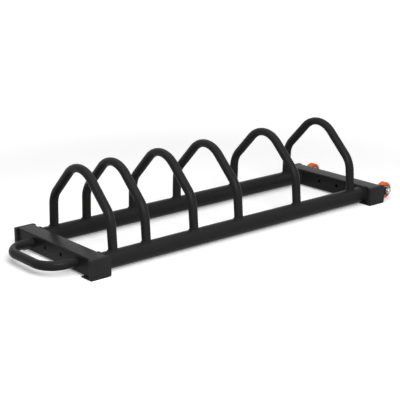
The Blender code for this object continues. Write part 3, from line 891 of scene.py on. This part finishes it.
@dataclass
class CrossBeam:
    """A square-tube cross beam with two drain holes, between two moulded end caps.

    Attributes:
        word: Name of the end, handle or wheel.
        corner: Outer corner radius of the tube.
        inner_corner: Inner corner radius of the tube.
        wall: Tube wall.
        hole_diameter: Diameter of a drain hole.
        hole_spacing: Distance between the two holes.
        hole_raise: Height of the holes above the beam's middle.
        hole_sides: Number of faces around a hole.
        drill_length: Length of the drill that cuts it, centred on the beam's face.
        cap_width: Width of a cap's end wall.
        cap_top: Radius of the end wall's two upper corners.
        cap_low_handle: Radius of its lower corner on the handle side.
        cap_low_wheel: Radius of its lower corner on the wheel side.
        cap_edge: Rounding of the end wall's outer edge.
        cap_edge_segments: Number of faces across that rounding.
        foot_width: Width of the foot under the beam.
        foot_reach: How far the foot runs under the beam.
        foot_edge: Rounding of the foot's long edges.
        lip_top: Height of the thin lip at both sides of the foot.
        overlap: How far foot and lip run into the end wall.
        gap: Clearance between the foot and the beam.
    """

    word: str
    corner: float = 0.0035
    inner_corner: float = 0.0015
    wall: float = 0.003
    hole_diameter: float = 0.012
    hole_spacing: float = 0.082
    hole_raise: float = 0.003
    hole_sides: int = 48
    drill_length: float = 0.012
    cap_width: float = 0.0675
    cap_top: float = 0.003
    cap_low_handle: float = 0.001
    cap_low_wheel: float = 0.0065
    cap_edge: float = 0.001
    cap_edge_segments: int = 4
    foot_width: float = 0.050
    foot_reach: float = 0.036
    foot_edge: float = 0.0008
    lip_top: float = 0.0038
    overlap: float = 0.004
    gap: float = 0.0003

    def build(self) -> None:
        """Makes the beam and its two caps."""
        low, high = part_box(f"{self.word}_beam")
        inset = Vector((self.wall, -self.wall, self.wall))
        bm = carve(rounded_box(low, high, self.corner),
                   rounded_box(low + inset, high - inset, self.inner_corner))
        hole_z = (low.z + high.z) / 2 + self.hole_raise
        hole_radius = self.hole_diameter / 2
        for _, side in SIDES:
            hole = bmesh.new()
            turn = Matrix.Translation((low.x, side * self.hole_spacing / 2, hole_z))
            bmesh.ops.create_cone(hole, cap_ends=True, segments=self.hole_sides, radius1=hole_radius,
                                  radius2=hole_radius, depth=self.drill_length,
                                  matrix=turn @ Matrix.Rotation(math.pi / 2, 4, "Y"))
            bm = carve(bm, hole)
        add_piece(f"{self.word}_beam_tube", bm, POWDER_COAT, nodes=(f"{self.word}_beam",))
        for word, side in SIDES:
            self._cap(word, side, (low.x + high.x) / 2, low.z)

    def _cap(self, word: str, side: int, x: float, beam_base: float) -> None:
        """Makes one end cap: its end wall, its foot and its lip.

        Args:
            word: Name of the side.
            side: -1 for the front, 1 for the back.
            x: Middle of the beam.
            beam_base: Height of the beam's underside.
        """
        node = f"{self.word}_cap_{word}"
        low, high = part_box(node)
        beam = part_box(f"{self.word}_beam")
        wall_near = beam[1].y if side > 0 else beam[0].y
        outer = high.y if side > 0 else low.y
        ys = sorted((wall_near, outer))
        half = self.cap_width / 2
        wall = rounded_box(Vector((x - half, ys[0], 0.0)), Vector((x + half, ys[1], high.z)))
        for edge in edges_along_y(wall):
            corner = edge.verts[0].co
            low_corner = self.cap_low_handle if corner.x < x else self.cap_low_wheel
            round_edges(wall, [edge], self.cap_top if corner.z > beam_base else low_corner)
        rim = [e for e in wall.edges if all(abs(v.co.y - outer) < TINY for v in e.verts)]
        round_edges(wall, rim, self.cap_edge, self.cap_edge_segments)
        foot_ys = sorted((wall_near - side * self.foot_reach, wall_near + side * self.overlap))
        foot_half = self.foot_width / 2
        foot = rounded_box(Vector((x - foot_half, foot_ys[0], 0.0)),
                           Vector((x + foot_half, foot_ys[1], beam_base - self.gap)), self.foot_edge)
        lip = rounded_box(Vector((x - half, foot_ys[0], 0.0)),
                          Vector((x + half - self.cap_low_wheel, foot_ys[1], self.lip_top)), self.foot_edge)
        bm = carve(carve(wall, foot, "UNION"), lip, "UNION")
        add_piece(f"{node}_moulding", bm, MOULDED_BLACK, nodes=(node,))


@dataclass
class WheelUnit:
    """One wheel with its bearings, axle bolt and the two ears that carry it.

    Distances along the axle are measured from the wheel's middle.

    Attributes:
        word: Name of the side, front or back.
        side: -1 for the front, 1 for the back.
        radius: Tyre radius.
        half_width: Half the tyre's width.
        tread_round: Rounding of the tread's shoulders.
        tyre_lip: How far the tyre's side slopes before it is flat.
        lip_round: Rounding where that slope ends.
        core_radius: Outer radius of the core.
        core_half: Half the core's width.
        core_round: Rounding of the core's outer edges.
        press_gap: Clearance around the core and around a bearing.
        bearing_radius: Outer radius of a bearing.
        bearing_width: Width of a bearing.
        ring_wall: Wall of a bearing ring.
        ring_round: Rounding of its outer edges.
        seal_thickness: Thickness of a seal.
        seal_inset: Depth of a seal below the bearing's face.
        seal_gap: Clearance between a seal's lip and the inner ring.
        bore: Inner radius of what sits on the bolt.
        collar_wall: Wall of a collar.
        thin_round: Rounding of the edges of seals, spacer and collars.
        ear_start: Distance of an ear's near face.
        ear_thickness: Thickness of an ear.
        ear_tip: Radius of an ear's round tip.
        ear_sides: Number of faces around the whole circle of that tip.
        ear_height: Height of an ear at its root.
        ear_edge: Rounding of an ear's edges.
        ear_edge_segments: Number of faces across that rounding.
        ear_flat_angle: Largest angle between faces of an ear that are joined into one.
        ear_rim_angle: Least angle of an ear's edge that is rounded.
        root_gap: Clearance between an ear and the beam.
        bead: Weld at an ear's root.
        bead_inset: How far that weld ends short of the ear's corners.
        washer_radius: Outer radius of a washer.
        washer_thickness: Thickness of a washer.
        washer_round: Rounding of its outer edges.
        washer_play: How much wider a washer's bore is than the bearing's.
        hex_across: Width across the flats of bolt head and nut.
        hex_flat: Radius of a hexagon's free face, as a share of that to its flats.
        hex_wide: Radius of the cutter that turns its corners off, as a share of that to its corners.
        hex_run: How far that cutter runs past the seated face.
        hex_clear: How far it runs past the free face.
        head_height: Height of the bolt head.
        head_chamfer: Depth of its turned-off corners.
        nut_height: Height of the nut's hexagon.
        nut_chamfer: Depth of its turned-off corners.
        nut_collar: Height of the collar on the nut.
        nut_collar_radius: Outer radius of that collar.
        nut_collar_round: Rounding of its outer edges.
        bolt_radius: Radius of the bolt's shank.
        bolt_tail: How far the bolt runs past the nut.
        bolt_chamfer: Chamfer of the bolt's tip, and length of plain shank under the head.
        bolt_steps: Number of faces around the shank.
        thread_pitch: Pitch of the bolt's thread.
        thread_depth: Depth of that thread.
        gap: Clearance between neighbours on the bolt.
        steps: Number of faces around a turned piece.
    """

    word: str
    side: int
    radius: float = 0.026
    half_width: float = 0.011
    tread_round: float = 0.004
    tyre_lip: float = 0.00275
    lip_round: float = 0.0006
    core_radius: float = 0.015
    core_half: float = 0.010
    core_round: float = 0.0004
    press_gap: float = 0.0001
    bearing_radius: float = 0.013
    bearing_width: float = 0.008
    ring_wall: float = 0.0016
    ring_round: float = 0.0003
    seal_thickness: float = 0.0008
    seal_inset: float = 0.0003
    seal_gap: float = 0.00035
    bore: float = 0.0051
    collar_wall: float = 0.0016
    thin_round: float = 0.0002
    ear_start: float = 0.0125
    ear_thickness: float = 0.006
    ear_tip: float = 0.0105
    ear_sides: int = 64
    ear_height: float = 0.025
    ear_edge: float = 0.0006
    ear_edge_segments: int = 3
    ear_flat_angle: float = math.radians(1)
    ear_rim_angle: float = math.radians(60)
    root_gap: float = 0.0001
    bead: WeldBead = WeldBead(leg=0.004)
    bead_inset: float = 0.001
    washer_radius: float = 0.010
    washer_thickness: float = 0.002
    washer_round: float = 0.0004
    washer_play: float = 0.0002
    hex_across: float = 0.016
    hex_flat: float = 0.94
    hex_wide: float = 1.05
    hex_run: float = 0.001
    hex_clear: float = 1e-5
    head_height: float = 0.0064
    head_chamfer: float = 0.0022
    nut_height: float = 0.008
    nut_chamfer: float = 0.0016
    nut_collar: float = 0.002
    nut_collar_radius: float = 0.0072
    nut_collar_round: float = 0.0006
    bolt_radius: float = 0.005
    bolt_tail: float = 0.002
    bolt_chamfer: float = 0.001
    bolt_steps: int = 48
    thread_pitch: float = 0.0015
    thread_depth: float = 0.0006
    gap: float = 0.0003
    steps: int = 96

    def __post_init__(self) -> None:
        """Finds the wheel's middle and the distance of an ear's far face."""
        low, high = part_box(f"{self.word}_wheel_tyre")
        self.centre = (low + high) / 2
        self.wheel_body = f"{self.word}_wheel"
        self.ear_end = self.ear_start + self.ear_thickness

    def build(self) -> None:
        """Makes every piece of the wheel unit."""
        self._tyre()
        self._core()
        for label, end in (("outboard", self.side), ("inboard", -self.side)):
            self._bearing(label, end)
        self._axle_rings()
        self._bolt()
        self._nut()
        for word, end in (("outer", self.side), ("inner", -self.side)):
            self._ear(word, end)

    def _spin(self, name: str, profile: list[tuple[float, float]], finish: Finish, body: str,
              node: str, rounds: dict[int, float] | None = None) -> None:
        """Makes a turned piece about the axle's axis that stands for one plain solid."""
        add_piece(name, spun(profile, self.centre, self.steps, rounds), finish, body, (node,))

    @staticmethod
    def _ring(inner: float, outer: float, start: float, end: float,
              edge: float) -> tuple[list[tuple[float, float]], dict[int, float]]:
        """Returns the profile of a plain ring and the rounding of its outer edges."""
        near, far = sorted((start, end))
        return [(inner, near), (outer, near), (outer, far), (inner, far)], {1: edge, 2: edge}

    @staticmethod
    def _mirrored(half: list[tuple[float, float]]) -> list[tuple[float, float]]:
        """Returns the profile whose other half mirrors the given one about the wheel's middle."""
        return half + [(radius, -along) for radius, along in reversed(half)]

    def _tyre(self) -> None:
        """Makes the round-shouldered tyre."""
        profile = self._mirrored([(self.core_radius + self.press_gap, self.core_half),
                                  (self.core_radius + self.tyre_lip, self.half_width),
                                  (self.radius, self.half_width)])
        rounds = {2: self.tread_round, 3: self.tread_round, 1: self.lip_round, 4: self.lip_round}
        self._spin(f"{self.word}_tyre_tread", profile, ORANGE_URETHANE, self.wheel_body,
                   f"{self.word}_wheel_tyre", rounds)

    def _core(self) -> None:
        """Makes the moulded core with its bearing seats."""
        seat = self.bearing_radius + self.press_gap
        step = self.core_half - self.bearing_width - self.gap
        profile = self._mirrored([(self.core_radius, self.core_half), (seat, self.core_half), (seat, step),
                                  (self.bearing_radius - self.ring_wall, step)])
        self._spin(f"{self.word}_core_moulding", profile, CORE_BLACK, self.wheel_body,
                   f"{self.word}_wheel_core", {0: self.core_round, 7: self.core_round})

    def _bearing(self, label: str, end: int) -> None:
        """Makes the rings and seals of one ball bearing, and dresses its ball cage.

        Args:
            label: Name of the bearing's side.
            end: -1 or 1, the side of the wheel's middle that it lies on.
        """
        node = f"{self.word}_{label}_bearing"
        middle = end * (self.core_half - self.bearing_width / 2)
        half = self.bearing_width / 2
        race = self.bore + self.ring_wall
        outer_bore = self.bearing_radius - self.ring_wall
        for word, inner, outer, body in (("outer", outer_bore, self.bearing_radius, self.wheel_body),
                                         ("inner", self.bore, race, FRAME_BODY)):
            profile, rounds = self._ring(inner, outer, middle - half, middle + half, self.ring_round)
            self._spin(f"{node}_{word}_race", profile, BEARING_STEEL, body, f"{node}_{word}_ring", rounds)
        for word, face in (("outer", end), ("inner", -end)):
            near = middle + face * (half - self.seal_inset)
            far = near - face * self.seal_thickness
            profile, rounds = self._ring(race + self.seal_gap, outer_bore - self.press_gap, near, far,
                                         self.thin_round)
            self._spin(f"{node}_{word}_lip_seal", profile, SEAL_NAVY, self.wheel_body,
                       f"{node}_{word}_seal", rounds)
        self._dress_cage(f"{node}_ball_cage")

    @staticmethod
    def _dress_cage(node: str) -> None:
        """Gives a ball cage, whose plain solid is kept, its finish.

        Args:
            node: The cage's solid.
        """
        cage = bpy.data.objects[node]
        for material_slot in cage.material_slots:
            material_slot.material = BEARING_STEEL.material()
        LOG.info("%s: plain solid kept, %s", node, BEARING_STEEL.name)

    def _axle_rings(self) -> None:
        """Makes the bearing spacer, the collars and the washers."""
        spacer = self.core_half - self.bearing_width - self.gap
        profile, rounds = self._ring(self.bore, self.bore + self.ring_wall, -spacer, spacer, self.thin_round)
        self._spin(f"{self.word}_spacer_sleeve", profile, ZINC_PLATE, FRAME_BODY,
                   f"{self.word}_bearing_spacer", rounds)
        for word, end in (("outer", self.side), ("inner", -self.side)):
            profile, rounds = self._ring(self.bore, self.bore + self.collar_wall,
                                         end * (self.core_half + self.gap), end * (self.ear_start - self.gap),
                                         self.thin_round)
            self._spin(f"{self.word}_{word}_collar_sleeve", profile, ZINC_PLATE, FRAME_BODY,
                       f"{self.word}_{word}_collar", rounds)
        start = self.ear_end + self.gap / 2
        for word, end in (("head", self.side), ("nut", -self.side)):
            profile, rounds = self._ring(self.bore + self.washer_play, self.washer_radius, end * start,
                                         end * (start + self.washer_thickness), self.washer_round)
            self._spin(f"{self.word}_{word}_flat_washer", profile, ZINC_PLATE, FRAME_BODY,
                       f"{self.word}_{word}_washer", rounds)

    def _hexagon(self, start: float, end: float, chamfer: float) -> bmesh.types.BMesh:
        """A hexagon whose corners are turned off at its free end.

        Args:
            start: Distance of the seated face from the wheel's middle.
            end: Distance of the free face.
            chamfer: Depth of the turned-off corners.

        Returns:
            The closed shape.
        """
        corner = self.hex_across / math.sqrt(3)
        bm = bmesh.new()
        middle = self.centre + AXIS_Y * (start + end) / 2
        bmesh.ops.create_cone(bm, cap_ends=True, segments=6, radius1=corner, radius2=corner,
                              depth=abs(end - start),
                              matrix=Matrix.Translation(middle) @ Matrix.Rotation(math.pi / 2, 4, "X"))
        sign = 1 if end > start else -1
        wide = corner * self.hex_wide
        near = start - sign * self.hex_run
        top = end + sign * self.hex_clear
        lens = spun_line([(0.0, near), (wide, near), (wide, end - sign * chamfer),
                          (self.hex_across / 2 * self.hex_flat, top), (0.0, top)], self.centre, self.steps)
        return carve(bm, lens, "INTERSECT")

    def _bolt(self) -> None:
        """Makes the axle bolt: chamfered head, shank and threaded tip."""
        start = self.ear_end + self.washer_thickness + self.gap
        head = self._hexagon(self.side * start, self.side * (start + self.head_height), self.head_chamfer)
        tail = start + self.gap + self.nut_height + self.nut_collar + self.bolt_tail
        radius = self.bolt_radius
        inside = start + self.head_height / 2
        profile = [(0.0, inside), (radius, inside)]
        along = self.bolt_chamfer - start
        while along - self.thread_pitch > self.bolt_chamfer - tail:
            profile += [(radius, along), (radius - self.thread_depth, along - self.thread_pitch / 2)]
            along -= self.thread_pitch
        profile += [(radius, along), (radius - self.bolt_chamfer, -tail), (0.0, -tail)]
        shank = spun_line([(r, self.side * y) for r, y in profile], self.centre, self.bolt_steps)
        add_piece(f"{self.word}_hex_bolt", carve(head, shank, "UNION"), ZINC_PLATE,
                  nodes=(f"{self.word}_axle_bolt",))

    def _nut(self) -> None:
        """Makes the lock nut with its round collar."""
        start = self.ear_end + self.washer_thickness + 2 * self.gap
        sign = -self.side
        top = start + self.nut_height
        nut = self._hexagon(sign * start, sign * top, self.nut_chamfer)
        collar, rounds = self._ring(0.0, self.nut_collar_radius, sign * (start + self.nut_height / 2),
                                    sign * (top + self.nut_collar), self.nut_collar_round)
        bore, _ = self._ring(0.0, self.bolt_radius + self.gap / 4, sign * (start - self.gap),
                             sign * (top + self.nut_collar + self.gap), 0.0)
        shape = carve(nut, self._solid_spin(collar, rounds), "UNION")
        shape = carve(shape, self._solid_spin(bore, {}))
        add_piece(f"{self.word}_lock_nut", shape, ZINC_PLATE, nodes=(f"{self.word}_axle_nut",))

    def _solid_spin(self, profile: list[tuple[float, float]], rounds: dict[int, float]) -> bmesh.types.BMesh:
        """Turns a closed profile that touches the axis, and merges its points there.

        Args:
            profile: Corner points (radius, distance along the axle).
            rounds: Rounding radius of each named corner.

        Returns:
            The closed shape.
        """
        bm = spun(profile, self.centre, self.steps, rounds)
        bmesh.ops.remove_doubles(bm, verts=bm.verts, dist=TINY)
        inner = [f for f in bm.faces if f.calc_area() < TINY ** 2]
        bmesh.ops.delete(bm, geom=inner, context="FACES")
        return bm

    def _ear(self, word: str, end: int) -> None:
        """Makes one flat ear with softened edges, and the weld at its root.

        Args:
            word: Name of the ear.
            end: -1 or 1, the side of the wheel's middle that it lies on.
        """
        node = f"{self.word}_{word}_ear"
        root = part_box("wheel_beam")[1].x + self.root_gap
        near, far = sorted((end * self.ear_start, end * self.ear_end))
        bm = bmesh.new()
        for y in (near, far):
            place = Matrix.Translation(self.centre + AXIS_Y * y) @ Matrix.Rotation(math.pi / 2, 4, "X")
            bmesh.ops.create_circle(bm, cap_ends=False, segments=self.ear_sides, radius=self.ear_tip,
                                    matrix=place)
            for z in (-self.ear_height / 2, self.ear_height / 2):
                bm.verts.new((root, self.centre.y + y, self.centre.z + z))
        hull = bmesh.ops.convex_hull(bm, input=bm.verts)
        loose = [v for v in hull["geom_interior"] if isinstance(v, bmesh.types.BMVert)]
        bmesh.ops.delete(bm, geom=loose, context="VERTS")
        bmesh.ops.dissolve_limit(bm, angle_limit=self.ear_flat_angle, verts=bm.verts, edges=bm.edges)
        rim = [e for e in bm.edges if e.is_manifold and e.calc_face_angle() > self.ear_rim_angle]
        round_edges(bm, rim, self.ear_edge, self.ear_edge_segments)
        hole, _ = self._ring(0.0, self.bolt_radius + self.gap, near - self.gap, far + self.gap, 0.0)
        bm = carve(bm, self._solid_spin(hole, {}))
        add_piece(f"{node}_plate", bm, POWDER_COAT, nodes=(node,))
        inward = -self.side
        face = self.centre.y + (near if inward < 0 else far)
        half = self.ear_height / 2 - self.bead_inset
        self.bead.along(f"{node}_weld", Vector((root, face, self.centre.z - half)),
                        Vector((root, face, self.centre.z + half)), AXIS_X, AXIS_Y * inward)


@dataclass(frozen=True)
class Softbox:
    """A rectangular soft lamp.

    Attributes:
        name: Lamp name.
        place: Lamp position.
        target: Point that it faces.
        width: Width of its face.
        depth: Depth of its face.
        power: Power in watts.
    """

    name: str
    place: tuple[float, float, float]
    target: tuple[float, float, float]
    width: float
    depth: float
    power: float

    def build(self) -> None:
        """Adds the lamp."""
        data = bpy.data.lights.new(self.name, "AREA")
        data.shape = "RECTANGLE"
        data.size = self.width
        data.size_y = self.depth
        data.energy = self.power
        lamp = linked(self.name, data)
        lamp.location = self.place
        aim = Vector(self.target) - Vector(self.place)
        lamp.rotation_mode = "QUATERNION"
        lamp.rotation_quaternion = aim.to_track_quat("-Z", "Y")


OVERHEAD_SOFTBOX = Softbox("overhead_softbox", place=(-0.6, -0.2, 3.0), target=(0.0, 0.0, 0.0),
                           width=3.0, depth=4.0, power=58.0)
FRONT_SOFTBOX = Softbox("front_softbox", place=(-1.0, -2.4, 2.0), target=(-0.2, 0.0, 0.1),
                        width=1.6, depth=1.6, power=80.0)


@dataclass
class Studio:
    """Pale floor, soft light and the camera.

    Attributes:
        camera_place: Camera position.
        yaw: Turn of the view about the vertical, in degrees.
        pitch: Downward tilt, in degrees.
        roll: Roll about the line of sight, in degrees.
        sensor: Width of the camera's sensor in millimetres.
        lens: Focal length in millimetres.
        sight: Distance to which the camera sees.
        floor_size: Width of the floor.
        floor_pale: Floor colour that the camera sees.
        floor_bounce: Floor colour that lights the rack.
        floor_lift: Glow of the floor to the camera, close to the rack and far from it.
        lift_reach: Distances from the rack between which that glow rises.
        dome: Strength of the dome's light away from its bright side and towards it.
        dome_side: Direction of the bright side: the wheel end, a little below level.
        dome_reach: Cosines of the angle from that direction between which the strength rises.
        lamps: The soft lamps.
    """

    camera_place: tuple[float, float, float] = (-2.16387, -2.65285, 1.06490)
    yaw: float = -38.96
    pitch: float = 16.06
    roll: float = -0.68
    sensor: float = 36.0
    lens: float = 103.68
    sight: float = 200.0
    floor_size: float = 60.0
    floor_pale: float = 0.9
    floor_bounce: float = 0.3
    floor_lift: tuple[float, float] = (0.27, 1.0)
    lift_reach: tuple[float, float] = (0.9, 2.6)
    dome: tuple[float, float] = (0.05, 0.55)
    dome_side: tuple[float, float, float] = (0.85, 0.1, -0.2)
    dome_reach: tuple[float, float] = (-0.05, 0.62)
    lamps: tuple[Softbox, ...] = (OVERHEAD_SOFTBOX, FRONT_SOFTBOX)

    def build(self) -> None:
        """Sets up camera, floor, world and lamps."""
        bpy.context.scene.view_settings.view_transform = "Standard"
        self._camera()
        self._floor()
        self._world()
        for lamp in self.lamps:
            lamp.build()

    def _camera(self) -> None:
        """Adds the camera at the photographed angle."""
        yaw, pitch, roll = (math.radians(value) for value in (self.yaw, self.pitch, self.roll))
        right = Vector((math.cos(yaw), math.sin(yaw), 0.0))
        back = Vector((math.sin(yaw) * math.cos(pitch), -math.cos(yaw) * math.cos(pitch), math.sin(pitch)))
        up = back.cross(right)
        turned_right = right * math.cos(roll) + up * math.sin(roll)
        turned_up = up * math.cos(roll) - right * math.sin(roll)
        data = bpy.data.cameras.new("camera")
        data.sensor_width = self.sensor
        data.lens = self.lens
        data.clip_end = self.sight
        camera = linked("camera", data)
        rotation = Matrix((turned_right, turned_up, back)).transposed().to_4x4()
        camera.matrix_world = Matrix.Translation(self.camera_place) @ rotation
        bpy.context.scene.camera = camera

    @staticmethod
    def _background_rays(tree: bpy.types.NodeTree) -> bpy.types.NodeSocket:
        """Adds the test for rays that show the pale background rather than light the rack.

        Args:
            tree: Node tree of the floor or the world.

        Returns:
            A value of 1 for camera, glossy and transmission rays, and 0 for all others.
        """
        path = tree.nodes.new("ShaderNodeLightPath")
        total = path.outputs["Is Camera Ray"]
        for name in ("Is Glossy Ray", "Is Transmission Ray"):
            add = tree.nodes.new("ShaderNodeMath")
            add.operation = "ADD"
            add.use_clamp = True
            tree.links.new(total, add.inputs[0])
            tree.links.new(path.outputs[name], add.inputs[1])
            total = add.outputs[0]
        return total

    def _floor(self) -> None:
        """Adds the floor, which shows soft shadows on white."""
        bm = bmesh.new()
        bmesh.ops.create_grid(bm, x_segments=1, y_segments=1, size=self.floor_size / 2)
        mesh = mesh_of("floor", bm)
        floor = linked("floor", mesh)
        material = bpy.data.materials.new("pale_floor")
        material.use_nodes = True
        tree = material.node_tree
        tree.nodes.clear()
        seen = self._background_rays(tree)
        colour = mix_colours(tree, (self.floor_bounce,) * 3, (self.floor_pale,) * 3, seen)
        diffuse = tree.nodes.new("ShaderNodeBsdfDiffuse")
        place = tree.nodes.new("ShaderNodeTexCoord")
        distance = tree.nodes.new("ShaderNodeVectorMath")
        distance.operation = "LENGTH"
        tree.links.new(place.outputs["Object"], distance.inputs[0])
        rise = map_range(tree, distance.outputs["Value"], self.lift_reach, self.floor_lift, smooth=True)
        glow = tree.nodes.new("ShaderNodeEmission")
        lift = tree.nodes.new("ShaderNodeMath")
        lift.operation = "MULTIPLY"
        both = tree.nodes.new("ShaderNodeAddShader")
        output = tree.nodes.new("ShaderNodeOutputMaterial")
        tree.links.new(colour, diffuse.inputs["Color"])
        tree.links.new(seen, lift.inputs[0])
        tree.links.new(rise, lift.inputs[1])
        tree.links.new(lift.outputs[0], glow.inputs["Strength"])
        tree.links.new(diffuse.outputs[0], both.inputs[0])
        tree.links.new(glow.outputs[0], both.inputs[1])
        tree.links.new(both.outputs[0], output.inputs["Surface"])
        mesh.materials.append(material)

    def _world(self) -> None:
        """Lights the rack from a dome that is brighter at the wheel end, and shows white behind it."""
        world = bpy.data.worlds.new("studio_dome")
        bpy.context.scene.world = world
        world.use_nodes = True
        tree = world.node_tree
        background = tree.nodes["Background"]
        place = tree.nodes.new("ShaderNodeTexCoord")
        dot = tree.nodes.new("ShaderNodeVectorMath")
        dot.operation = "DOT_PRODUCT"
        dot.inputs[1].default_value = Vector(self.dome_side).normalized()
        tree.links.new(place.outputs["Generated"], dot.inputs[0])
        mix = tree.nodes.new("ShaderNodeMix")
        mix.inputs["B"].default_value = 1.0
        tree.links.new(map_range(tree, dot.outputs["Value"], self.dome_reach, self.dome), mix.inputs["A"])
        tree.links.new(self._background_rays(tree), mix.inputs["Factor"])
        tree.links.new(mix.outputs["Result"], background.inputs["Strength"])
        background.inputs["Color"].default_value = (1.0, 1.0, 1.0, 1.0)


def main() -> None:
    """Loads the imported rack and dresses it."""
    logging.basicConfig(level=logging.INFO, format="%(message)s")
    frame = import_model()
    LOG.info("packed model: %d plain solids", len(frame["nodes"]))
    Studio().build()
    rails = Rails()
    rails.build()
    for number in range(1, HOOP_COUNT + 1):
        Hoop(number, rails).build()
    CarryHandle().build()
    for word in ("handle", "wheel"):
        CrossBeam(word).build()
    for word, side in SIDES:
        WheelUnit(word, side).build()


if __name__ == "__main__":
    main()
